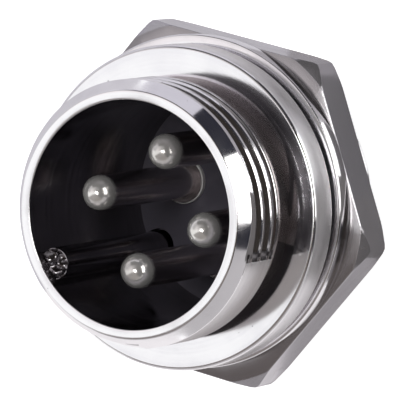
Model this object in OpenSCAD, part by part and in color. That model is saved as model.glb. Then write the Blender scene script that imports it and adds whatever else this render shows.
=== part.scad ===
// Round four-pin panel connector: a flanged metal shell with a threaded socket in
// front, an insulating insert with four contact pins, and a washer and nut behind.
// The axis is Z, the mating end points up, and the flange meets the panel at z = 0.

/* [Shell front] */
// Inner diameter of the socket that takes the plug
socket_d = 12.8; // [12.4:0.1:13.2]
// Wall of the socket at the flat rim of its mouth
rim_wall = 0.52; // [0.4:0.02:0.7]
// Wall of the socket at the crests of the coupling thread
coupling_wall = 1.1; // [0.9:0.05:1.4]
// Length from the rim to the end of the coupling thread
coupling_l = 3.75; // [3:0.25:6]
// Length of the lead-in cone behind the rim
lead_in_l = 0.7; // [0.4:0.1:1]
// Length over which the coupling thread runs out into the neck
run_out_l = 0.3; // [0.1:0.05:0.5]
// Wall of the neck between the coupling thread and the flange
neck_wall = 0.5; // [0.4:0.05:0.7]
// Length of the neck
neck_l = 1.1; // [0.8:0.1:2]

/* [Flange] */
// How far the flange stands out past the mounting thread
flange_overhang = 1.2; // [0.8:0.1:2]
// Thickness of the flange
flange_t = 1.95; // [1.2:0.05:3]
// Bevel on both edges of the flange
flange_bevel = 0.15; // [0.05:0.05:0.3]

/* [Shell rear] */
// Wall of the shell at the crests of the mounting thread
mounting_wall = 1.6; // [1.5:0.05:2]
// Length of the mounting thread behind the flange
mounting_l = 7.7; // [7:0.1:12]
// Chamfer at the rear end of the mounting thread
mounting_chamfer = 0.7; // [0.4:0.1:0.8]

/* [Key] */
// Width of the round-nosed key rib in the socket
key_w = 1.9; // [1.5:0.1:2.1]
// How far the key rib stands out of the socket wall
key_reach = 1.4; // [1.1:0.1:1.5]
// Distance from the rim to the front end of the key rib
key_setback = 0.7; // [0.4:0.1:2]
// How far the key rib enters the notch in the insulator
key_engagement = 1; // [0.6:0.1:1.2]

/* [Insulator] */
// Thickness of the rim that seats against the shoulder in the shell
seat_t = 1.4; // [1.3:0.1:2]
// Width of the shoulder that the insulator seats against
shoulder_w = 0.35; // [0.25:0.05:0.4]
// Length of the boss behind the seating rim
boss_l = 2.3; // [1.5:0.1:4]

/* [Retaining ring] */
// Thickness of the ring
ring_t = 0.45; // [0.3:0.05:0.5]
// Depth of the groove that holds the ring
groove_depth = 0.35; // [0.2:0.05:0.4]
// Radial width of the ring
ring_w = 0.9; // [0.7:0.1:1.1]
// Wall left behind the groove at the rear end of the shell
groove_lip = 0.3; // [0.2:0.05:0.5]
// Opening between the ends of the ring
ring_opening = 2.5; // [1.5:0.1:4]

/* [Contact pins] */
// Diameter of a contact pin
pin_d = 2; // [1.6:0.1:2.2]
// Diameter of the circle that the pins stand on
pin_circle_d = 7; // [6.4:0.1:7.4]
// Distance from the rim back to the pin tips
tip_setback = 1.7; // [1:0.1:3]
// Diameter of the shank that is held in the insulator
shank_d = 1.4; // [1.2:0.05:1.4]
// Diameter of the collar at the foot of a pin
collar_d = 2.7; // [2.5:0.1:3]
// Height of the collar
collar_h = 0.35; // [0.2:0.05:0.6]
// Outer diameter of a solder cup
cup_d = 2.6; // [2.5:0.1:2.8]
// Length of a solder cup
cup_l = 4.3; // [3:0.1:6]
// Diameter of the hole in a solder cup
cup_hole_d = 1.8; // [1.4:0.1:2]
// Length of the solid root of a solder cup, above its hole
cup_root_l = 0.9; // [0.5:0.1:1.2]
// Length of the open side of a solder cup
cup_mouth_l = 1.5; // [1:0.1:2]

/* [Washer] */
// How far the washer stands out past the mounting thread
washer_overhang = 1.5; // [1:0.1:2.5]
// Thickness of the washer
washer_t = 1; // [0.6:0.1:1.2]
// Free space between the flange and the loose washer
washer_gap = 0.4; // [0.1:0.1:1]
// How far the loose washer lies off centre
washer_shift = 0.2; // [0:0.05:0.2]
// Direction in which the loose washer lies off centre
washer_shift_angle = 150; // [0:5:355]
// Bevel on the outer edges of the washer
washer_bevel = 0.08; // [0.04:0.02:0.2]

/* [Nut] */
// Wall of the nut between its thread and its flats
nut_wall = 1.5; // [1:0.25:3]
// Thickness of the nut
nut_t = 2.5; // [2:0.1:3]
// How far the turned edge of the nut's faces stands out past its flats
nut_turned_step = 0.85; // [0.3:0.05:1]
// Angle of the turned corner chamfer
nut_chamfer_angle = 30; // [20:1:35]
// Direction of one corner of the nut
nut_corner_angle = 48; // [0:1:60]

/* [Fits] */
// Radial clearance of the nut on the mounting thread
nut_clearance = 0.05; // [0.02:0.01:0.1]
// Radial clearance of the washer on the mounting thread
washer_clearance = 0.3; // [0.3:0.05:0.5]
// Radial clearance of the insulator in the shell and of a pin in the insulator
insert_clearance = 0.02; // [0.01:0.01:0.05]
// Clearance round the key rib in the notch and round the retaining ring
free_clearance = 0.05; // [0.03:0.01:0.1]

/* [Hidden] */
$fn = 96;

// A cut reaches this far past the faces that it opens
cut_over = 0.5;

socket_r = socket_d / 2;
rim_r = socket_r + rim_wall;
coupling_r = socket_r + coupling_wall;
neck_r = socket_r + neck_wall;
mounting_r = socket_r + mounting_wall;
flange_r = mounting_r + flange_overhang;

thread_end_z = flange_t + neck_l;
rim_z = thread_end_z + coupling_l;

// The insert is placed from the rear end of the shell: lip, ring, seating rim
groove_rear_z = groove_lip - mounting_l;
seat_rear_z = groove_rear_z + ring_t + free_clearance;
seat_front_z = seat_rear_z + seat_t;
counterbore_r = socket_r + shoulder_w;
groove_r = counterbore_r + groove_depth;
boss_rear_z = seat_rear_z - boss_l;

ring_r = groove_r - free_clearance;
ring_inner_r = ring_r - ring_w;
// The boss passes through the ring with room for the ring to be squeezed in
boss_r = ring_inner_r - groove_depth + free_clearance;

key_r = key_w / 2;
key_centre_r = socket_r - key_reach + key_r;
// The rib is rooted this deep in the socket wall
key_root = 0.2;

pin_r = pin_d / 2;
shank_r = shank_d / 2;
pin_tip_z = rim_z - tip_setback;
cup_r = cup_d / 2;
cup_end_z = boss_rear_z - cup_l;
// The open side of the cup leaves slightly more than half of its wall
cup_mouth_offset = cup_d / 12;

washer_front_z = -washer_gap;
nut_front_z = washer_front_z - washer_t;
nut_flat_r = mounting_r + nut_wall;
nut_turned_r = nut_flat_r + nut_turned_step;
nut_corner_r = nut_flat_r / cos(30);
// Height over which the chamfer cone falls back at the nut's corners
nut_chamfer_h = (nut_corner_r - nut_turned_r) * tan(nut_chamfer_angle);
nut_bore_chamfer = 0.3;

PLATED = [0.80, 0.80, 0.83];

module annulus(outer_r, inner_r, z0, z1) {
    translate([0, 0, z0])
        difference() {
            cylinder(r = outer_r, h = z1 - z0);
            translate([0, 0, -cut_over])
                cylinder(r = inner_r, h = z1 - z0 + 2 * cut_over);
        }
}

module at_pin(index) {
    rotate([0, 0, 45 + 90 * index])
        translate([pin_circle_d / 2, 0, 0])
            children();
}

// The half-round rib that the plug's slot slides over
module key_rib(z0, z1) {
    intersection() {
        translate([0, -key_centre_r, z0])
            cylinder(r = key_r, h = z1 - z0);
        translate([0, 0, z0])
            cylinder(r = socket_r + key_root, h = z1 - z0);
    }
}

module shell_profile() {
    polygon([
        [socket_r, rim_z],
        [rim_r, rim_z],
        [coupling_r, rim_z - lead_in_l],
        [coupling_r, thread_end_z + run_out_l],
        [neck_r, thread_end_z],
        [neck_r, flange_t],
        [flange_r - flange_bevel, flange_t],
        [flange_r, flange_t - flange_bevel],
        [flange_r, flange_bevel],
        [flange_r - flange_bevel, 0],
        [mounting_r, 0],
        [mounting_r, mounting_chamfer - mounting_l],
        [mounting_r - mounting_chamfer, -mounting_l],
        [counterbore_r, -mounting_l],
        [counterbore_r, groove_rear_z],
        [groove_r, groove_rear_z],
        [groove_r, seat_rear_z],
        [counterbore_r, seat_rear_z],
        [counterbore_r, seat_front_z],
        [socket_r, seat_front_z]
    ]);
}

module shell() {
    color(PLATED)
    union() {
        rotate_extrude()
            shell_profile();
        key_rib(seat_front_z - key_engagement, rim_z - key_setback);
    }
}

module insulator() {
    color([0.05, 0.05, 0.06])
    difference() {
        union() {
            translate([0, 0, seat_rear_z])
                cylinder(r = counterbore_r - insert_clearance, h = seat_t);
            translate([0, 0, boss_rear_z])
                cylinder(r = boss_r, h = boss_l + seat_t / 2);
        }
        for (index = [0:3])
            at_pin(index)
                translate([0, 0, boss_rear_z - cut_over])
                    cylinder(r = shank_r + insert_clearance, h = boss_l + seat_t + 2 * cut_over);
        translate([0, -key_centre_r, seat_front_z - key_engagement - free_clearance])
            cylinder(r = key_r + free_clearance, h = key_engagement + free_clearance + cut_over);
    }
}

// A turned pin: ball nose, collar on the insulator, and a solder cup with its side open
module pin(index) {
    nose_z = pin_tip_z - pin_r;
    color([0.78, 0.77, 0.74])
    at_pin(index)
        difference() {
            union() {
                translate([0, 0, nose_z])
                    sphere(r = pin_r);
                translate([0, 0, seat_front_z])
                    cylinder(r = pin_r, h = nose_z - seat_front_z);
                translate([0, 0, boss_rear_z - cup_root_l / 2])
                    cylinder(r = shank_r, h = seat_front_z + collar_h / 2 - boss_rear_z + cup_root_l / 2);
                translate([0, 0, seat_front_z])
                    cylinder(r = collar_d / 2, h = collar_h);
                translate([0, 0, cup_end_z])
                    cylinder(r = cup_r, h = cup_l);
            }
            translate([0, 0, cup_end_z - cut_over])
                cylinder(d = cup_hole_d, h = cup_l - cup_root_l + cut_over);
            translate([cup_mouth_offset, -cup_d, cup_end_z - cut_over])
                cube([cup_d, 2 * cup_d, cup_mouth_l + cut_over]);
        }
}

module pin_1() {
    pin(0);
}

module pin_2() {
    pin(1);
}

module pin_3() {
    pin(2);
}

module pin_4() {
    pin(3);
}

module retaining_ring() {
    color([0.55, 0.55, 0.57])
    difference() {
        annulus(ring_r, ring_inner_r, seat_rear_z - ring_t, seat_rear_z);
        translate([-ring_opening / 2, 0, seat_rear_z - ring_t - cut_over])
            cube([ring_opening, ring_r + cut_over, ring_t + 2 * cut_over]);
    }
}

module washer() {
    outer_r = mounting_r + washer_overhang;
    inner_r = mounting_r + washer_clearance;
    color(PLATED)
    rotate([0, 0, washer_shift_angle])
        translate([washer_shift, 0, washer_front_z])
            rotate_extrude()
                polygon([
                    [inner_r, 0],
                    [outer_r - washer_bevel, 0],
                    [outer_r, -washer_bevel],
                    [outer_r, washer_bevel - washer_t],
                    [outer_r - washer_bevel, -washer_t],
                    [inner_r, -washer_t]
                ]);
}

module nut() {
    bore_r = mounting_r + nut_clearance;
    color(PLATED)
    translate([0, 0, nut_front_z - nut_t])
        intersection() {
            rotate([0, 0, nut_corner_angle])
                cylinder(r = nut_corner_r, h = nut_t, $fn = 6);
            rotate_extrude()
                polygon([
                    [bore_r + nut_bore_chamfer, 0],
                    [nut_turned_r, 0],
                    [nut_corner_r + cut_over, nut_chamfer_h + cut_over * tan(nut_chamfer_angle)],
                    [nut_corner_r + cut_over, nut_t - nut_chamfer_h - cut_over * tan(nut_chamfer_angle)],
                    [nut_turned_r, nut_t],
                    [bore_r + nut_bore_chamfer, nut_t],
                    [bore_r, nut_t - nut_bore_chamfer],
                    [bore_r, nut_bore_chamfer]
                ]);
        }
}

shell();
insulator();
pin_1();
pin_2();
pin_3();
pin_4();
retaining_ring();
washer();
nut();
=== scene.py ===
from math import atan2, cos, degrees, hypot, pi, radians, sin, tan

import bmesh
import bpy
from mathutils import Matrix, Vector
from mathutils.noise import noise


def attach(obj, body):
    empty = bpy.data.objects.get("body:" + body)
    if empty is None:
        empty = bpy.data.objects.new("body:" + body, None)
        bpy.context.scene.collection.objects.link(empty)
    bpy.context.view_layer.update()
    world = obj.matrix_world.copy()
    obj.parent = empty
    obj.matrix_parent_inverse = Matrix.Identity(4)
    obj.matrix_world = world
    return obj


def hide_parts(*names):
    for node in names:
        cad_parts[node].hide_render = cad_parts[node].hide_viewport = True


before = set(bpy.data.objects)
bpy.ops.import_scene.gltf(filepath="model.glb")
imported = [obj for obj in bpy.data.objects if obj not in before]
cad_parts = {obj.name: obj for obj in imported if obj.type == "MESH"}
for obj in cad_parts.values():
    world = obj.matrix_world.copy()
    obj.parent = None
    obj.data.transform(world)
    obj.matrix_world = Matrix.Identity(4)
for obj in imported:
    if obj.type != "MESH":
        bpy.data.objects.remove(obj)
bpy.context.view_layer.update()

mm = 0.001
scene = bpy.context.scene


def smoothStep(low, high, value):
    t = min(1.0, max(0.0, (value - low) / (high - low)))
    return t * t * (3 - 2 * t)


def fixOrder(bm):
    # spin and bisect list edges and faces in an order that changes from run to run
    bm.verts.index_update()
    count = len(bm.verts)

    def lowestCorners(item):
        place = 0
        for index in sorted(v.index for v in item.verts)[:3]:
            place = place * count + index
        return place

    for items in (bm.edges, bm.faces):
        items.sort(key=lowestCorners)
        items.index_update()


def turn(points, steps, soft=None, rows=None, closed=True):
    # an outline of (radius, height) in mm, rounded at its corners and spun about Z
    bm = bmesh.new()
    corners = [bm.verts.new((r * mm, 0, z * mm)) for r, z in points]
    for a, b in zip(corners, corners[1:] + (corners[:1] if closed else [])):
        bm.edges.new((a, b))

    def cornerAt(index):
        spot = Vector((points[index][0] * mm, 0, points[index][1] * mm))
        return min(bm.verts, key=lambda v: (v.co - spot).length)

    for index, radius in (soft or {}).items():
        bmesh.ops.bevel(bm, geom=[cornerAt(index)], offset=radius * mm, segments=3,
                        profile=0.5, affect="VERTICES", material=-1)
    for (first, second), step in (rows or {}).items():
        middle = [(a + b) / 2 for a, b in zip(points[first], points[second])]
        middle = Vector((middle[0] * mm, 0, middle[1] * mm))
        edge = min(bm.edges, key=lambda e: ((e.verts[0].co + e.verts[1].co) / 2 - middle).length)
        bmesh.ops.subdivide_edges(bm, edges=[edge], cuts=int(edge.calc_length() / mm / step))
    bmesh.ops.spin(bm, geom=bm.verts[:] + bm.edges[:], cent=(0, 0, 0), axis=(0, 0, 1),
                   angle=2 * pi, steps=steps, use_merge=True)
    bmesh.ops.remove_doubles(bm, verts=bm.verts, dist=1e-7)
    fixOrder(bm)
    bmesh.ops.recalc_face_normals(bm, faces=bm.faces)
    return bm


def makePiece(name, bm, material, sharpAngle=40, weighted=True):
    mesh = bpy.data.meshes.new(name)
    bm.to_mesh(mesh)
    bm.free()
    for face in mesh.polygons:
        face.use_smooth = True
    mesh.set_sharp_from_angle(angle=radians(sharpAngle))
    mesh.materials.append(material)
    piece = bpy.data.objects.new(name, mesh)
    scene.collection.objects.link(piece)
    if weighted:
        shading = piece.modifiers.new("evenShading", "WEIGHTED_NORMAL")
        shading.keep_sharp = True
    return piece


def link(tree, source, target):
    tree.links.new(source, target)


def node(tree, kind, **settings):
    made = tree.nodes.new(kind)
    for key, value in settings.items():
        setattr(made, key, value)
    return made


def mathNode(tree, operation, first, second=None, clamp=False):
    made = node(tree, "ShaderNodeMath", operation=operation, use_clamp=clamp)
    for index, value in enumerate((first, second)):
        if value is None:
            continue
        if isinstance(value, (int, float)):
            made.inputs[index].default_value = value
        else:
            link(tree, value, made.inputs[index])
    return made.outputs[0]


def mixColour(tree, factor, first, second):
    made = node(tree, "ShaderNodeMix", data_type="RGBA")
    if isinstance(factor, (int, float)):
        made.inputs["Factor"].default_value = factor
    else:
        link(tree, factor, made.inputs["Factor"])
    for socket, value in ((made.inputs[6], first), (made.inputs[7], second)):
        if isinstance(value, (tuple, list)):
            socket.default_value = (*value, 1)
        else:
            link(tree, value, socket)
    return made.outputs[2]


def remap(tree, value, fromLow, fromHigh, toLow, toHigh):
    made = node(tree, "ShaderNodeMapRange", interpolation_type="SMOOTHSTEP")
    link(tree, value, made.inputs["Value"])
    for name, number in (("From Min", fromLow), ("From Max", fromHigh),
                         ("To Min", toLow), ("To Max", toHigh)):
        made.inputs[name].default_value = number
    return made.outputs["Result"]


def newGroup(name, inputs, outputs):
    group = bpy.data.node_groups.new(name, "ShaderNodeTree")
    for label, kind, default in inputs:
        socket = group.interface.new_socket(name=label, in_out="INPUT", socket_type=kind)
        if default is not None:
            socket.default_value = default
    for label, kind in outputs:
        group.interface.new_socket(name=label, in_out="OUTPUT", socket_type=kind)
    return group, node(group, "NodeGroupInput"), node(group, "NodeGroupOutput")


def buildTurnedMarks():
    # fine rings left by the lathe: noise that only runs across the radius and the height
    group, given, out = newGroup(
        "turnedMarks",
        [("Vector", "NodeSocketVector", None), ("Lines per mm", "NodeSocketFloat", 14.0),
         ("Drift", "NodeSocketFloat", 0.6)],
        [("Marks", "NodeSocketFloat"), ("Bands", "NodeSocketFloat")])
    split = node(group, "ShaderNodeSeparateXYZ")
    link(group, given.outputs["Vector"], split.inputs[0])
    flat = node(group, "ShaderNodeCombineXYZ")
    link(group, split.outputs[0], flat.inputs[0])
    link(group, split.outputs[1], flat.inputs[1])
    radius = node(group, "ShaderNodeVectorMath", operation="LENGTH")
    link(group, flat.outputs[0], radius.inputs[0])
    unit = node(group, "ShaderNodeVectorMath", operation="NORMALIZE")
    link(group, flat.outputs[0], unit.inputs[0])
    unitSplit = node(group, "ShaderNodeSeparateXYZ")
    link(group, unit.outputs[0], unitSplit.inputs[0])
    density = mathNode(group, "MULTIPLY", given.outputs["Lines per mm"], 1000.0)
    reach = mathNode(group, "ADD", radius.outputs["Value"], split.outputs[2])
    across = mathNode(group, "MULTIPLY", reach, density)
    place = node(group, "ShaderNodeCombineXYZ")
    link(group, across, place.inputs[0])
    for axis in (0, 1):
        link(group, mathNode(group, "MULTIPLY", unitSplit.outputs[axis], given.outputs["Drift"]),
             place.inputs[axis + 1])
    fine = node(group, "ShaderNodeTexNoise")
    fine.inputs["Scale"].default_value = 1.0
    fine.inputs["Detail"].default_value = 3.0
    link(group, place.outputs[0], fine.inputs["Vector"])
    link(group, fine.outputs["Fac"], out.inputs["Marks"])
    coarse = node(group, "ShaderNodeTexNoise")
    coarse.inputs["Scale"].default_value = 0.13
    coarse.inputs["Detail"].default_value = 2.0
    link(group, place.outputs[0], coarse.inputs["Vector"])
    link(group, coarse.outputs["Fac"], out.inputs["Bands"])
    return group


def buildSpecks():
    # small pits and stuck dust in plating or plastic
    group, given, out = newGroup(
        "specks",
        [("Vector", "NodeSocketVector", None), ("Cells per mm", "NodeSocketFloat", 1.6),
         ("Size", "NodeSocketFloat", 0.09)],
        [("Specks", "NodeSocketFloat"), ("Clouds", "NodeSocketFloat")])
    grain = node(group, "ShaderNodeTexVoronoi", feature="F1")
    grain.inputs["Randomness"].default_value = 1.0
    link(group, given.outputs["Vector"], grain.inputs["Vector"])
    link(group, mathNode(group, "MULTIPLY", given.outputs["Cells per mm"], 1000.0),
         grain.inputs["Scale"])
    pick = node(group, "ShaderNodeSeparateColor")
    link(group, grain.outputs["Color"], pick.inputs[0])
    limit = mathNode(group, "MULTIPLY", given.outputs["Size"],
                     mathNode(group, "POWER", pick.outputs[0], 4.0))
    ratio = mathNode(group, "DIVIDE", grain.outputs["Distance"],
                     mathNode(group, "ADD", limit, 0.001))
    link(group, remap(group, ratio, 0.7, 1.0, 1.0, 0.0), out.inputs["Specks"])
    cloud = node(group, "ShaderNodeTexNoise")
    cloud.inputs["Scale"].default_value = 420.0
    cloud.inputs["Detail"].default_value = 5.0
    link(group, given.outputs["Vector"], cloud.inputs["Vector"])
    link(group, cloud.outputs["Fac"], out.inputs["Clouds"])
    return group


def place(tree, group, coordinates, **values):
    made = node(tree, "ShaderNodeGroup")
    made.node_tree = group
    link(tree, coordinates, made.inputs["Vector"])
    for label, value in values.items():
        made.inputs[label.replace("_", " ")].default_value = value
    return made


def startMaterial(name):
    material = bpy.data.materials.new(name)
    material.use_nodes = True
    tree = material.node_tree
    tree.nodes.clear()
    out = node(tree, "ShaderNodeOutputMaterial")
    shader = node(tree, "ShaderNodeBsdfPrincipled")
    link(tree, shader.outputs[0], out.inputs[0])
    coordinates = node(tree, "ShaderNodeTexCoord").outputs["Object"]
    return material, tree, shader, coordinates


def bump(tree, height, strength, distance, before=None):
    made = node(tree, "ShaderNodeBump")
    made.inputs["Strength"].default_value = strength
    made.inputs["Distance"].default_value = distance * mm
    link(tree, height, made.inputs["Height"])
    if before is not None:
        link(tree, before, made.inputs["Normal"])
    return made.outputs[0]


turnedMarks = buildTurnedMarks()
specks = buildSpecks()


platingLook = {
    "bright": (0.95, 0.945, 0.965),
    "dull": (0.80, 0.785, 0.81),
    "speck": (0.16, 0.15, 0.17),
    "gloss": (0.07, 0.20),
    "linesPerMm": 16.0,
    "lineBump": 0.05,
    "metal": 1.0,
}


def makePlating(name, look):
    material, tree, shader, coordinates = startMaterial(name)
    rings = place(tree, turnedMarks, coordinates, Lines_per_mm=look["linesPerMm"])
    dirt = place(tree, specks, coordinates)
    tone = mathNode(tree, "ADD", mathNode(tree, "MULTIPLY", rings.outputs["Bands"], 0.5),
                    mathNode(tree, "MULTIPLY", dirt.outputs["Clouds"], 0.5))
    mask = remap(tree, tone, 0.42, 0.66, 0.0, 0.8)
    colour = mixColour(tree, mask, look["bright"], look["dull"])
    colour = mixColour(tree, dirt.outputs["Specks"], colour, look["speck"])
    link(tree, colour, shader.inputs["Base Color"])
    shader.inputs["Metallic"].default_value = look["metal"]
    low, high = look["gloss"]
    link(tree, remap(tree, tone, 0.4, 0.7, low, high), shader.inputs["Roughness"])
    link(tree, bump(tree, rings.outputs["Marks"], look["lineBump"], 0.02), shader.inputs["Normal"])
    return material


shellPlating = makePlating("shellPlating", platingLook)
flangePlating = makePlating("flangePlating", {
    **platingLook, "dull": (0.86, 0.85, 0.89), "gloss": (0.09, 0.14), "lineBump": 0.02})
wornPlating = makePlating("wornPlating", {
    **platingLook, "bright": (0.94, 0.925, 0.945), "gloss": (0.28, 0.36), "lineBump": 0.02,
    "metal": 0.78})
# painted shade: a dark copy of the plating for the socket wall, standing in for the shade deep in
# the bore
boreShadePlating = makePlating("boreShadePlating", {
    **platingLook, "bright": (0.30, 0.285, 0.30), "dull": (0.20, 0.19, 0.20),
    "gloss": (0.12, 0.25)})
# painted shade: a darker copy of the plating for the recessed neck under the thread
neckShadePlating = makePlating("neckShadePlating", {
    **platingLook, "bright": (0.46, 0.43, 0.43), "dull": (0.36, 0.33, 0.33),
    "gloss": (0.2, 0.3)})
# painted shade: a near-black copy of the plating for hidden groove flanks and groove ends
grooveShadePlating = makePlating("grooveShadePlating", {
    **platingLook, "bright": (0.09, 0.085, 0.09), "dull": (0.06, 0.055, 0.06),
    "gloss": (0.3, 0.45)})
washerPlating = makePlating("washerPlating", {
    **platingLook, "gloss": (0.10, 0.22), "linesPerMm": 11.0})
nutPlating = makePlating("nutPlating", {
    **platingLook, "bright": (0.56, 0.545, 0.575), "dull": (0.48, 0.46, 0.49),
    "gloss": (0.12, 0.20), "linesPerMm": 9.0, "metal": 0.80})
chamferPlating = makePlating("chamferPlating", {
    **platingLook, "bright": (0.54, 0.525, 0.555), "dull": (0.46, 0.445, 0.47),
    "gloss": (0.2, 0.28), "metal": 0.86})
# painted shade: a darker copy of the nut plating for its flat faces
shadedNutFacePlating = makePlating("shadedNutFacePlating", {
    **platingLook, "bright": (0.44, 0.425, 0.44), "dull": (0.36, 0.345, 0.355),
    "gloss": (0.16, 0.24), "linesPerMm": 9.0, "metal": 1.0})

silverLook = {
    "bright": (0.90, 0.885, 0.86),
    "dull": (0.70, 0.68, 0.655),
    # painted shade: the shaft down in the socket is given a darker silver than the nose
    "shadedShaft": (0.56, 0.52, 0.53),
    "rough": (0.13, 0.21),
    "shaftRough": 0.24,
    "noseFrom": (3.7, 4.3),
    "cupFade": (-10.2, -9.0),
    "collarFade": (-5.6, -5.5),
    "collarTop": -5.17,
    "tinned": (0.52, 0.51, 0.51),
    "metal": 0.72,
    "collarMetal": 0.15,
}


def makeSilver():
    material, tree, shader, coordinates = startMaterial("contactSilver")
    dirt = place(tree, specks, coordinates, Cells_per_mm=3.0, Size=0.06)
    colour = mixColour(tree, remap(tree, dirt.outputs["Clouds"], 0.35, 0.65, 0.0, 1.0),
                       silverLook["bright"], silverLook["dull"])
    split = node(tree, "ShaderNodeSeparateXYZ")
    link(tree, coordinates, split.inputs[0])
    low, high = silverLook["noseFrom"]
    nose = remap(tree, split.outputs[2], low * mm, high * mm, 0.0, 1.0)
    low, high = silverLook["cupFade"]
    cup = remap(tree, split.outputs[2], low * mm, high * mm, 1.0, 0.0)
    top = silverLook["collarTop"]
    low, high = silverLook["collarFade"]
    collar = mathNode(tree, "MULTIPLY",
                      remap(tree, split.outputs[2], (top - 0.01) * mm, top * mm, 1.0, 0.0),
                      remap(tree, split.outputs[2], low * mm, high * mm, 0.0, 1.0))
    matt = mathNode(tree, "ADD", mathNode(tree, "ADD", nose, cup), collar, clamp=True)
    colour = mixColour(tree, cup, colour, silverLook["tinned"])
    # the shaft takes the darker silver, painted shade
    link(tree, mixColour(tree, matt, silverLook["shadedShaft"], colour), shader.inputs["Base Color"])
    metal = mathNode(tree, "MULTIPLY", remap(tree, matt, 0.0, 1.0, 1.0, silverLook["metal"]),
                     remap(tree, collar, 0.0, 1.0, 1.0, silverLook["collarMetal"]))
    link(tree, metal, shader.inputs["Metallic"])
    low, high = silverLook["rough"]
    rough = remap(tree, dirt.outputs["Clouds"], 0.35, 0.65, low, high)
    blend = node(tree, "ShaderNodeMix", data_type="FLOAT")
    link(tree, matt, blend.inputs["Factor"])
    blend.inputs[2].default_value = silverLook["shaftRough"]
    link(tree, rough, blend.inputs[3])
    link(tree, blend.outputs[0], shader.inputs["Roughness"])
    return material


insertLook = {
    "dark": (0.068, 0.062, 0.078),
    "pale": (0.10, 0.092, 0.11),
    "rough": (0.38, 0.52),
    "shine": 0.2,
}


def makeInsert():
    material, tree, shader, coordinates = startMaterial("insertPlastic")
    dirt = place(tree, specks, coordinates, Cells_per_mm=2.0, Size=0.07)
    colour = mixColour(tree, remap(tree, dirt.outputs["Clouds"], 0.4, 0.7, 0.0, 1.0),
                       insertLook["dark"], insertLook["pale"])
    link(tree, colour, shader.inputs["Base Color"])
    low, high = insertLook["rough"]
    link(tree, remap(tree, dirt.outputs["Clouds"], 0.35, 0.65, low, high),
         shader.inputs["Roughness"])
    shader.inputs["Specular IOR Level"].default_value = insertLook["shine"]
    return material


springLook = {
    "bright": (0.45, 0.45, 0.46),
    "dull": (0.3, 0.3, 0.32),
    "rough": (0.25, 0.42),
    "linesPerMm": 20.0,
}


def makeSpringSteel():
    material, tree, shader, coordinates = startMaterial("springSteel")
    rings = place(tree, turnedMarks, coordinates, Lines_per_mm=springLook["linesPerMm"])
    colour = mixColour(tree, rings.outputs["Bands"], springLook["bright"], springLook["dull"])
    link(tree, colour, shader.inputs["Base Color"])
    shader.inputs["Metallic"].default_value = 1.0
    low, high = springLook["rough"]
    link(tree, remap(tree, rings.outputs["Marks"], 0.3, 0.7, low, high),
         shader.inputs["Roughness"])
    return material


contactSilver = makeSilver()
insertPlastic = makeInsert()
springSteel = makeSpringSteel()
print("materials ready")


shellSizes = {
    "socketR": 6.4, "rimR": 6.92, "couplingR": 7.5, "neckR": 6.9,
    "flangeR": 9.2, "mountingR": 8.0, "counterboreR": 6.75, "grooveR": 7.1,
    "rimZ": 6.8, "leadInL": 0.7, "threadEndZ": 3.2, "runOut": 0.06,
    "flangeT": 1.95, "flangeFrontRound": 0.22, "flangeRearRound": 0.15,
    "rearZ": -7.7, "rearChamfer": 0.7,
    "seatFrontZ": -5.5, "seatRearZ": -6.9, "grooveRearZ": -7.4,
    "steps": 192,
    "frontPitch": 1.0, "frontDepth": 0.5, "frontStart": 1.05, "frontFade": (3.5, 3.75),
    "lastGroove": 3.1, "lastWidth": 0.54, "threadTurn": 70,
    "smoothFrom": 26, "smoothTo": 98,
    "rearPitch": 1.0, "rearDepth": 0.55,
    "grooveDrop": 0.12, "grooveRoot": 0.5, "grooveShoulder": 0.78, "shoulderDepth": 0.2,
    "crestEdge": 0.978,
    "keyR": 0.9, "keyCentreR": 6.05, "keyFrontZ": 6.1, "keyRearZ": -6.5,
    "keyDent": 0.5, "keyDentedL": 0.3, "keyGrain": 1.7,
}


# which part of the shell wears which finish
shellFinishes = [shellPlating, flangePlating, boreShadePlating, wornPlating, grooveShadePlating,
                 neckShadePlating]
flangeFinish, boreShadeFinish, wornFinish, grooveShadeFinish, neckShadeFinish = range(1, 6)


def grooveShape(along):
    # depth share from one crest edge (0) to the next (1): a steep drop, a flat root,
    # a steep flank up to the shoulder and an eased slope to the next crest
    s = shellSizes
    root, shoulder = s["grooveRoot"], s["grooveShoulder"]
    if along < s["grooveDrop"]:
        return smoothStep(0, s["grooveDrop"], along)
    if along < root:
        return 1
    if along < shoulder:
        return 1 - (1 - s["shoulderDepth"]) * (along - root) / (shoulder - root)
    return s["shoulderDepth"] * max(0, 1 - (along - shoulder) / (s["crestEdge"] - shoulder)) ** 2


def turnedFrom(x, y):
    # degrees round from where the thread starts, between -180 and 180
    turned = shellSizes["threadTurn"] - degrees(atan2(y, x))
    return (turned + 180) % 360 - 180


def buildKeyRib():
    # half-round rib along the socket wall, its front end rough as cast
    s = shellSizes
    outline = [(0, s["keyRearZ"]), (s["keyR"], s["keyRearZ"]),
               (s["keyR"], s["keyFrontZ"]), (0, s["keyFrontZ"])]
    bm = turn(outline, 40, soft={2: 0.12}, rows={(2, 3): 0.11}, closed=False)
    for v in bm.verts:
        r, z = hypot(v.co.x, v.co.y) / mm, v.co.z / mm
        if z > s["keyFrontZ"] - s["keyDentedL"]:
            share = 1 - smoothStep(s["keyR"] - 0.25, s["keyR"], r)
            v.co.z -= s["keyDent"] * share * (0.6 + noise(v.co / mm * s["keyGrain"])) * mm
    bmesh.ops.translate(bm, verts=bm.verts, vec=(0, -s["keyCentreR"] * mm, 0))
    bmesh.ops.bisect_plane(bm, geom=bm.verts[:] + bm.edges[:] + bm.faces[:],
                           plane_co=(0, -(s["socketR"] + 0.15) * mm, 0),
                           plane_no=(0, -1, 0), clear_outer=True)
    bmesh.ops.holes_fill(bm, edges=[e for e in bm.edges if e.is_boundary])
    fixOrder(bm)
    mesh = bpy.data.meshes.new("keyRib")
    bm.to_mesh(mesh)
    bm.free()
    return mesh


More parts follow.
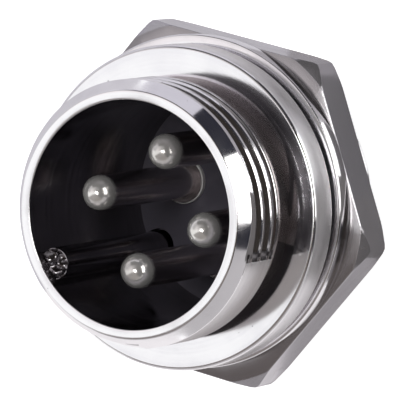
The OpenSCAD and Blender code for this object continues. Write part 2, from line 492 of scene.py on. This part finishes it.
def buildShell():
    s = shellSizes
    outline = [
        (s["socketR"], s["rimZ"]),
        (s["rimR"], s["rimZ"]),
        (s["couplingR"], s["rimZ"] - s["leadInL"]),
        (s["couplingR"], s["threadEndZ"] + s["runOut"]),
        (s["neckR"], s["threadEndZ"]),
        (s["neckR"], s["flangeT"]),
        (s["flangeR"], s["flangeT"]),
        (s["flangeR"], 0),
        (s["mountingR"], 0),
        (s["mountingR"], s["rearZ"] + s["rearChamfer"]),
        (s["mountingR"] - s["rearChamfer"], s["rearZ"]),
        (s["counterboreR"], s["rearZ"]),
        (s["counterboreR"], s["grooveRearZ"]),
        (s["grooveR"], s["grooveRearZ"]),
        (s["grooveR"], s["seatRearZ"]),
        (s["counterboreR"], s["seatRearZ"]),
        (s["counterboreR"], s["seatFrontZ"]),
        (s["socketR"], s["seatFrontZ"]),
    ]
    bm = turn(outline, s["steps"],
              soft={0: 0.05, 1: 0.05, 5: 0.12, 6: s["flangeFrontRound"],
                    7: s["flangeRearRound"], 8: 0.06, 11: 0.05},
              rows={(1, 2): 0.04, (2, 3): 0.025, (3, 4): 0.04, (8, 9): 0.04, (9, 10): 0.04})
    for v in bm.verts:
        r, z = hypot(v.co.x, v.co.y) / mm, v.co.z / mm
        if r < 6.85:
            continue
        turned = turnedFrom(v.co.x, v.co.y)
        newR = r
        if s["threadEndZ"] - 0.01 < z < s["rimZ"] - 0.02:
            fromRim = s["rimZ"] - z
            phase = (fromRim - s["frontStart"]) / s["frontPitch"] - turned / 360
            offset = phase % 1 - 0.5
            middle = fromRim - offset * s["frontPitch"]
            depth = s["frontDepth"] * smoothStep(0.5, 0.9, middle)
            depth *= 1 - smoothStep(*s["frontFade"], middle)
            if middle > s["lastGroove"]:
                offset = min(0.5, (offset + 0.5) / s["lastWidth"] - 0.5)
            # grooves end before the smooth side
            narrow = 1 - smoothStep(s["smoothFrom"], s["smoothFrom"] + 3, turned) \
                * (1 - smoothStep(s["smoothTo"] - 3, s["smoothTo"], turned))
            offset /= max(narrow, 0.05)
            v.tag = abs(offset) < 0.5 and not -0.36 < offset < 0.46 and depth * narrow > 0.02
            if abs(offset) < 0.5:
                newR = min(r, s["couplingR"] - depth * narrow * grooveShape(offset + 0.5))
        elif s["rearZ"] < z < -0.1:
            phase = (-z / s["rearPitch"] - turned / 360) % 1
            depth = s["rearDepth"] * smoothStep(0.25, 1.0, -z)
            newR = min(r, s["mountingR"] - depth * grooveShape(phase))
        v.co.x *= newR / r
        v.co.y *= newR / r

    ribMesh = buildKeyRib()
    bm.from_mesh(ribMesh)
    bpy.data.meshes.remove(ribMesh)
    bmesh.ops.recalc_face_normals(bm, faces=bm.faces)
    for face in bm.faces:
        middle = face.calc_center_median() / mm
        r = hypot(middle.x, middle.y)
        # painted shade: the neck takes the darker plating
        if s["flangeT"] < middle.z < s["threadEndZ"] + 0.05:
            face.material_index = neckShadeFinish
        if abs(middle.z - s["flangeT"]) < 0.01 and r > s["neckR"]:
            face.material_index = flangeFinish
        elif 0.1 < middle.z < s["flangeT"] - 0.15 and r > 9:
            face.material_index = wornFinish
        # painted shade: the socket wall gets the dark plating
        elif r < s["socketR"] + 0.01 and s["seatFrontZ"] < middle.z < s["rimZ"] - 0.08:
            face.material_index = boreShadeFinish
        elif s["threadEndZ"] < middle.z < s["rimZ"] - s["leadInL"] and r > s["couplingR"] - 0.6:
            turned = turnedFrom(middle.x, middle.y)
            if s["smoothFrom"] + 3 < turned < s["smoothTo"] - 3:
                face.material_index = wornFinish
            # painted shade: near-black plating on the hidden flanks and in the ends of the
            # grooves, in place of their glints
            inGroove = r < s["couplingR"] - 0.02
            nearSmooth = s["smoothFrom"] - 1 < turned < s["smoothTo"] + 1
            if any(v.tag for v in face.verts) or (inGroove and nearSmooth):
                face.material_index = grooveShadeFinish
    shell = makePiece("flangedShell", bm, shellPlating)
    corners = shell.data.vertices
    for edge in shell.data.edges:  # the grooves are shaded softly all through
        middle = (corners[edge.vertices[0]].co + corners[edge.vertices[1]].co) / 2 / mm
        r = hypot(middle.x, middle.y)
        front = s["threadEndZ"] + 0.1 < middle.z < s["rimZ"] - s["leadInL"] - 0.02
        rear = s["rearZ"] < middle.z < -0.1
        if (front and r > s["neckR"] - 0.1) \
                or (rear and r > s["mountingR"] - s["rearDepth"] - 0.1):
            edge.use_edge_sharp = False
    for finish in shellFinishes[1:]:
        shell.data.materials.append(finish)
    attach(shell, "connector")
    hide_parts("shell")


buildShell()
print("shell with both threads ready")


washerSizes = {"outerR": 9.5, "boreR": 8.3, "frontZ": -0.4, "thickness": 1.0,
               "shift": 0.2, "shiftAngle": 150, "edge": 0.1}


def buildWasher():
    s = washerSizes
    low = s["frontZ"] - s["thickness"]
    bm = turn([(s["boreR"], s["frontZ"]), (s["outerR"], s["frontZ"]),
               (s["outerR"], low), (s["boreR"], low)],
              160, soft={0: s["edge"], 1: s["edge"], 2: s["edge"], 3: s["edge"]})
    angle = radians(s["shiftAngle"])
    bmesh.ops.translate(bm, verts=bm.verts,
                        vec=(s["shift"] * cos(angle) * mm, s["shift"] * sin(angle) * mm, 0))
    washer = makePiece("plainWasher", bm, washerPlating)
    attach(washer, "washer")
    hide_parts("washer")


nutSizes = {"flatR": 9.5, "turnedR": 10.35, "boreR": 8.05, "frontZ": -1.4, "thickness": 2.5,
            "boreChamfer": 0.3, "cornerAngle": 48, "chamferAngle": 30, "edge": 0.06,
            "cornerTrim": 0.07, "steps": 240}
chamferFinish, shadedFaceFinish = 1, 2


def buildNut():
    s = nutSizes
    cornerR = s["flatR"] / cos(radians(30)) - s["cornerTrim"]
    top, low = s["frontZ"], s["frontZ"] - s["thickness"]
    middle = (top + low) / 2
    # turned round first, then the outer rings are drawn out to the six flats
    outline = [(s["boreR"] + s["boreChamfer"], top), (9.0, top), (9.2, top),
               (9.4, top - 0.02), (9.5, top - 0.06), (9.5, low + 0.06), (9.4, low + 0.02),
               (9.2, low), (9.0, low), (s["boreR"] + s["boreChamfer"], low),
               (s["boreR"], low + s["boreChamfer"]), (s["boreR"], top - s["boreChamfer"])]
    bm = turn(outline, s["steps"])
    for v in bm.verts:
        r, z = hypot(v.co.x, v.co.y) / mm, v.co.z / mm
        if r < 9.1:
            continue
        angle = (degrees(atan2(v.co.y, v.co.x)) - s["cornerAngle"]) % 60 - 30
        hexR = min(s["flatR"] / cos(radians(angle)), cornerR)
        edgeR = min(hexR, s["turnedR"])
        drop = max(0.0, hexR - s["turnedR"]) * tan(radians(s["chamferAngle"]))
        side = 1 if z > middle else -1
        face = top if side > 0 else low
        if r < 9.3:
            newR, newZ = edgeR - s["edge"], face
        elif r < 9.45:
            newR, newZ = edgeR - 0.3 * s["edge"], face - side * 0.3 * s["edge"]
        else:
            newR, newZ = hexR, face - side * (s["edge"] + drop)
        v.co.x *= newR / r
        v.co.y *= newR / r
        v.co.z = newZ * mm
    bmesh.ops.recalc_face_normals(bm, faces=bm.faces)
    for face in bm.faces:
        middle = face.calc_center_median() / mm
        # painted shade: the flat faces take the darker plating
        if abs(face.normal.z) > 0.97:
            face.material_index = shadedFaceFinish
        elif hypot(middle.x, middle.y) > s["turnedR"] - 0.1 and abs(face.normal.z) > 0.5:
            face.material_index = chamferFinish
    nut = makePiece("hexagonNut", bm, nutPlating, sharpAngle=28)
    nut.data.materials.append(chamferPlating)
    nut.data.materials.append(shadedNutFacePlating)
    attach(nut, "nut")
    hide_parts("nut")


buildWasher()
buildNut()
print("washer and nut ready")


pinSizes = {"circleR": 3.5, "pinR": 1.0, "tipZ": 5.1, "shankR": 0.7, "collarR": 1.35,
            "collarH": 0.35, "seatZ": -5.5, "bossRearZ": -9.2, "cupR": 1.3, "cupEndZ": -13.5,
            "cupHoleR": 0.9, "cupHoleEndZ": -10.1, "cupMouthZ": -12.0, "cupMouthOffset": 0.2167}


def buildPins():
    s = pinSizes
    base = bmesh.new()
    nose = [(s["pinR"] * sin(radians(a)), s["tipZ"] - s["pinR"] + s["pinR"] * cos(radians(a)))
            for a in range(0, 91, 6)]
    body = [
        (s["pinR"], s["seatZ"] + s["collarH"]),
        (s["collarR"] - 0.08, s["seatZ"] + s["collarH"]),
        (s["collarR"], s["seatZ"] + s["collarH"] - 0.08),
        (s["collarR"], s["seatZ"]),
        (s["shankR"], s["seatZ"]),
        (s["shankR"], s["bossRearZ"]),
        (s["cupR"] - 0.1, s["bossRearZ"]),
        (s["cupR"], s["bossRearZ"] - 0.1),
        (s["cupR"], s["cupEndZ"] + 0.08),
        (s["cupR"] - 0.08, s["cupEndZ"]),
        (s["cupHoleR"] + 0.05, s["cupEndZ"]),
        (s["cupHoleR"], s["cupEndZ"] + 0.05),
        (s["cupHoleR"], s["cupHoleEndZ"] - 0.5),
        (0, s["cupHoleEndZ"]),
    ]
    points = [base.verts.new((r * mm, 0, z * mm)) for r, z in nose + body]
    for a, b in zip(points, points[1:]):
        base.edges.new((a, b))
    bmesh.ops.spin(base, geom=base.verts[:] + base.edges[:], cent=(0, 0, 0), axis=(0, 0, 1),
                   angle=2 * pi, steps=64, use_merge=True)
    bmesh.ops.remove_doubles(base, verts=base.verts, dist=1e-6)
    fixOrder(base)
    bmesh.ops.recalc_face_normals(base, faces=base.faces)
    turned = bpy.data.meshes.new("turnedPin")
    base.to_mesh(turned)
    base.free()

    # the open side of the solder cup is cut away
    cutter = bmesh.new()
    bmesh.ops.create_cube(cutter, size=1.0, matrix=Matrix.Translation(
        ((s["cupMouthOffset"] + 1.5) * mm, 0, (s["cupMouthZ"] - 1.5) * mm))
        @ Matrix.Diagonal((3 * mm, 6 * mm, 3 * mm, 1)))
    cutMesh = bpy.data.meshes.new("cupCut")
    cutter.to_mesh(cutMesh)
    cutter.free()
    cutObject = bpy.data.objects.new("cupCut", cutMesh)
    pinObject = bpy.data.objects.new("turnedPin", turned)
    for made in (cutObject, pinObject):
        scene.collection.objects.link(made)
    scoop = pinObject.modifiers.new("scoop", "BOOLEAN")
    scoop.operation, scoop.solver, scoop.object = "DIFFERENCE", "EXACT", cutObject
    bpy.context.view_layer.update()
    depsgraph = bpy.context.evaluated_depsgraph_get()
    finished = bpy.data.meshes.new_from_object(pinObject.evaluated_get(depsgraph))
    for made in (cutObject, pinObject):
        bpy.data.objects.remove(made)

    for index in range(4):
        bm = bmesh.new()
        bm.from_mesh(finished)
        bmesh.ops.transform(bm, matrix=Matrix.Rotation(radians(45 + 90 * index), 4, "Z")
                            @ Matrix.Translation((s["circleR"] * mm, 0, 0)), verts=bm.verts)
        pin = makePiece(f"contactPin{index + 1}", bm, contactSilver, sharpAngle=30)
        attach(pin, "connector")
        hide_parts(f"pin_{index + 1}")


buildPins()


def dressNode(name, material):
    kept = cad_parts[name]
    for slot in kept.material_slots:
        slot.material = material


dressNode("insulator", insertPlastic)
dressNode("retaining_ring", springSteel)
print("pins, insert and ring ready")


studio = {"floorZ": -13.5, "floorHalf": 1.5, "floorColour": (0.80, 0.80, 0.80),
          "floorGlow": 0.80, "skyDiffuse": 0.5,
          "keyPower": 0.36, "keySize": 0.12, "keyDistance": 0.33,
          "keyAzimuth": -40, "keyElevation": 75,
          "fallDirection": 70.0, "flagDistance": 0.45}

# flags that only polished faces see: azimuth from the direction the face leans to,
# then elevation, both in degrees, and a colour
flags = {
    "frontSoftbox": ((-29, 17), (12, 36), (2.8, 2.76, 2.70)),
    "frontLow": ((-29, -3), (-4, 12), (1.5, 1.47, 1.43)),
    "frontShade": ((-3, 17), (-4, 12), (0.20, 0.185, 0.18)),
    "cameraSide": ((-118, 58), (36, 54), (0.030, 0.025, 0.022)),
    "cameraHigh": ((-68, 58), (54, 89), (0.038, 0.028, 0.026)),
    "cameraRight": ((58, 120), (36, 89), (0.22, 0.195, 0.18)),
    "rightWall": ((120, 165), (30, 80), (0.24, 0.215, 0.21)),
    "leftWall": ((-165, -118), (24, 54), (0.50, 0.48, 0.50)),
    "lowRight": ((35, 145), (-10, 36), (0.50, 0.48, 0.49)),
    "lowGap": ((17, 35), (8, 36), (0.022, 0.022, 0.030)),
    "lowGapFoot": ((17, 35), (-12, 8), (0.17, 0.16, 0.16)),
    "lowBlue": ((-65, -29), (6, 36), (0.026, 0.026, 0.036)),
    "lowBlueFoot": ((-65, -29), (-12, 6), (0.36, 0.345, 0.36)),
    "lowLilac": ((-165, -65), (-12, 20), (0.62, 0.60, 0.66)),
    "leftMiddle": ((-118, -65), (22, 36), (0.07, 0.065, 0.07)),
    "smallWindow": ((-95, 40), (75, 87), (6.5, 6.4, 6.3)),
}
# the wall on the left grows darker towards the front
for index in range(10):
    grey = 0.10 + 0.85 * (1 - index / 9) ** 1.3
    flags[f"leftFade{index}"] = ((-164 + 12 * index, -152 + 12 * index), (50, 80),
                                 (grey, 0.95 * grey, 0.96 * grey))
# what polished faces see of the table, by azimuth, reach in mm and colour: glossy-only sheets,
# where the dark near ones paint the object's shadow on the table and the others set its tone
tableFlags = {
    "tableNearShadow": ((-29, -2), (10, 18), (0.13, 0.122, 0.128)),
    "tableShade": ((-2, 50), (10, 300), (0.15, 0.14, 0.14)),
    "tableRightNearShadow": ((50, 165), (10, 15.5), (0.42, 0.40, 0.41)),
    "tableRight": ((50, 165), (15.5, 300), (0.90, 0.87, 0.88)),
    "tableLeft": ((-80, -29), (10, 300), (0.38, 0.36, 0.38)),
    "tableLeftFar": ((-125, -80), (10, 300), (0.62, 0.60, 0.64)),
    "tableFar": ((-195, -125), (10, 300), (0.60, 0.58, 0.62)),
}


def seenDirectly(tree):
    path = node(tree, "ShaderNodeLightPath")
    total = mathNode(tree, "ADD", path.outputs["Is Camera Ray"], path.outputs["Is Glossy Ray"])
    return mathNode(tree, "ADD", total, path.outputs["Is Transmission Ray"], clamp=True)


def buildFloor():
    bm = bmesh.new()
    bmesh.ops.create_grid(bm, x_segments=1, y_segments=1, size=studio["floorHalf"])
    bmesh.ops.translate(bm, verts=bm.verts, vec=(0, 0, studio["floorZ"] * mm))
    material = bpy.data.materials.new("paleFloor")
    material.use_nodes = True
    tree = material.node_tree
    shader = tree.nodes["Principled BSDF"]
    shader.inputs["Base Color"].default_value = (*studio["floorColour"], 1)
    shader.inputs["Roughness"].default_value = 0.9
    shader.inputs["Specular IOR Level"].default_value = 0.0
    shader.inputs["Emission Color"].default_value = (1, 1, 1, 1)
    link(tree, mathNode(tree, "MULTIPLY", seenDirectly(tree), studio["floorGlow"]),
         shader.inputs["Emission Strength"])
    mesh = bpy.data.meshes.new("floor")
    bm.to_mesh(mesh)
    bm.free()
    mesh.materials.append(material)
    floor = bpy.data.objects.new("floor", mesh)
    scene.collection.objects.link(floor)


def buildSky():
    world = bpy.data.worlds.new("studioSky")
    scene.world = world
    world.use_nodes = True
    tree = world.node_tree
    background = tree.nodes["Background"]
    background.inputs["Color"].default_value = (1, 1, 1, 1)
    strength = mathNode(tree, "ADD", studio["skyDiffuse"],
                        mathNode(tree, "MULTIPLY", seenDirectly(tree), 1 - studio["skyDiffuse"]))
    link(tree, strength, background.inputs["Strength"])


# camera axes: seen from above the coupling end, leaning over towards 70 degrees
view = {"lean": 29.89, "roll": -8.76, "away": 248.8, "right": -3.982, "down": 0.832,
        "lens": 405.0}


def buildCamera():
    lean, roll = radians(view["lean"]), radians(view["roll"])
    fall = radians(studio["fallDirection"])
    e1 = Vector((cos(fall), sin(fall), 0))
    e2 = Vector((cos(fall - pi / 2), sin(fall - pi / 2), 0))
    down = Vector((0, 0, -1))
    d = (sin(lean) * cos(roll), sin(lean) * sin(roll), cos(lean))
    a = (cos(lean) * cos(roll), cos(lean) * sin(roll), -sin(lean))
    b = (-sin(roll), cos(roll), 0)
    right = d[0] * down + a[0] * e1 + b[0] * e2
    lower = d[1] * down + a[1] * e1 + b[1] * e2
    forward = d[2] * down + a[2] * e1 + b[2] * e2
    rim = Vector((0, 0, shellSizes["rimZ"] * mm))
    spot = rim - (view["right"] * right + view["down"] * lower + view["away"] * forward) * mm
    data = bpy.data.cameras.new("camera")
    data.lens = view["lens"]
    data.sensor_width = 36
    data.clip_start = 0.01
    data.clip_end = 10
    data.dof.use_dof = False
    camera = bpy.data.objects.new("camera", data)
    turnMatrix = Matrix((right, -lower, -forward)).transposed()
    camera.matrix_world = Matrix.Translation(spot) @ turnMatrix.to_4x4()
    scene.collection.objects.link(camera)
    scene.camera = camera


def buildLamp(name, position, target, size, power):
    data = bpy.data.lights.new(name, "AREA")
    data.shape = "SQUARE"
    data.size = size
    data.energy = power
    lamp = bpy.data.objects.new(name, data)
    lamp.matrix_world = Matrix.Translation(position) @ \
        (Vector(target) - Vector(position)).to_track_quat("-Z", "Y").to_matrix().to_4x4()
    lamp.visible_glossy = False
    scene.collection.objects.link(lamp)


def glossyOnly(flag):
    flag.visible_camera = False
    flag.visible_diffuse = False
    flag.visible_transmission = False
    flag.visible_volume_scatter = False
    flag.visible_shadow = False


def buildFlag(name, bm, colour):
    fixOrder(bm)
    material = bpy.data.materials.new(name)
    material.use_nodes = True
    tree = material.node_tree
    tree.nodes.clear()
    glow = node(tree, "ShaderNodeEmission")
    glow.inputs["Color"].default_value = (*colour, 1)
    link(tree, glow.outputs[0], node(tree, "ShaderNodeOutputMaterial").inputs[0])
    mesh = bpy.data.meshes.new(name)
    bm.to_mesh(mesh)
    bm.free()
    mesh.materials.append(material)
    flag = bpy.data.objects.new(name, mesh)
    scene.collection.objects.link(flag)
    glossyOnly(flag)


def buildFlags():
    far = studio["flagDistance"]
    for name, (azimuths, elevations, colour) in flags.items():
        far -= 0.001
        bm = bmesh.new()
        start = radians(studio["fallDirection"] - azimuths[1])
        count = 8
        arc = []
        for index in range(count + 1):
            lift = radians(elevations[0] + (elevations[1] - elevations[0]) * index / count)
            arc.append(bm.verts.new((far * cos(lift) * cos(start), far * cos(lift) * sin(start),
                                     far * sin(lift))))
        for a, b in zip(arc, arc[1:]):
            bm.edges.new((a, b))
        bmesh.ops.spin(bm, geom=bm.verts[:] + bm.edges[:], cent=(0, 0, 0), axis=(0, 0, 1),
                       angle=radians(azimuths[1] - azimuths[0]), steps=24)
        buildFlag(name + "Flag", bm, colour)
    for name, (azimuths, reaches, colour) in tableFlags.items():
        bm = bmesh.new()
        start = radians(studio["fallDirection"] - azimuths[1])
        ends = [bm.verts.new((reach * mm * cos(start), reach * mm * sin(start),
                              (studio["floorZ"] + 0.2) * mm)) for reach in reaches]
        bm.edges.new(ends)
        bmesh.ops.spin(bm, geom=bm.verts[:] + bm.edges[:], cent=(0, 0, 0), axis=(0, 0, 1),
                       angle=radians(azimuths[1] - azimuths[0]), steps=24)
        buildFlag(name, bm, colour)


buildFloor()
buildFlags()
buildSky()
buildCamera()
keyTurn = radians(studio["fallDirection"] - studio["keyAzimuth"])
keyLift = radians(studio["keyElevation"])
keySpot = Vector((cos(keyLift) * cos(keyTurn), cos(keyLift) * sin(keyTurn), sin(keyLift)))
buildLamp("softKey", keySpot * studio["keyDistance"], (0, 0, 0), studio["keySize"],
          studio["keyPower"])
scene.view_settings.view_transform = "Standard"

print("scene ready")
